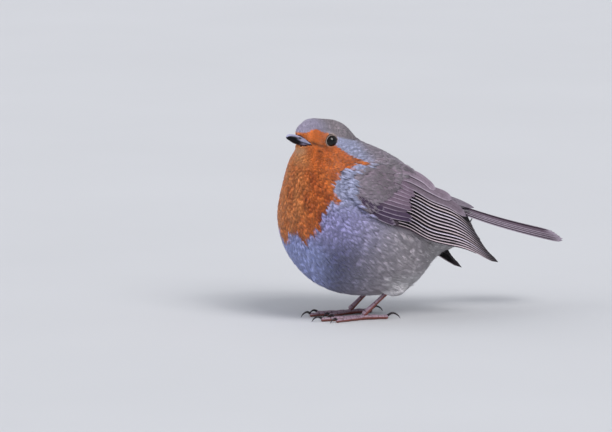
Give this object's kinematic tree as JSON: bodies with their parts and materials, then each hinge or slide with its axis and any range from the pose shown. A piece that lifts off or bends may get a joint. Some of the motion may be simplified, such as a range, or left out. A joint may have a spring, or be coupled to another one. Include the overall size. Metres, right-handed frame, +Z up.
{
  "type": "european robin",
  "caption": "Life-size still model of a European robin standing with fluffed plumage, its wings drooped beside a cocked tail and its head turned.",
  "frame": {"origin": "middle of the bounding box, on the floor under the soles", "axes": "+Z up, -Y the way the body faces, +X the bird's left side, with the tail running along +Y"},
  "size_m": [0.0578, 0.1228, 0.0847],
  "materials": {
    "plumage": "soft contour feathers, orange on face and breast, grey-brown above, whitish below",
    "flight_feathers": "dark brown vanes with pale edges",
    "horn": "satin dark horn",
    "claw": "satin dark horn",
    "eye": "wet black",
    "leg_scale": "scaly pinkish brown skin"
  },
  "bodies": {
    "root": {"trunk": "plumage", "neck": "plumage", "head": "plumage", "bill_upper": "horn", "bill_lower": "horn", "eye_left": "eye", "eye_right": "eye", "tail": "flight_feathers", "wing_left": "flight_feathers", "wing_right": "flight_feathers", "thigh_left": "plumage", "thigh_right": "plumage", "tarsus_left": "leg_scale", "tarsus_right": "leg_scale", "foot_left": "leg_scale", "foot_right": "leg_scale", "claw_inner_left": "claw", "claw_middle_left": "claw", "claw_outer_left": "claw", "claw_hind_left": "claw", "claw_inner_right": "claw", "claw_middle_right": "claw", "claw_outer_right": "claw", "claw_hind_right": "claw"}
  },
  "joints": []
}
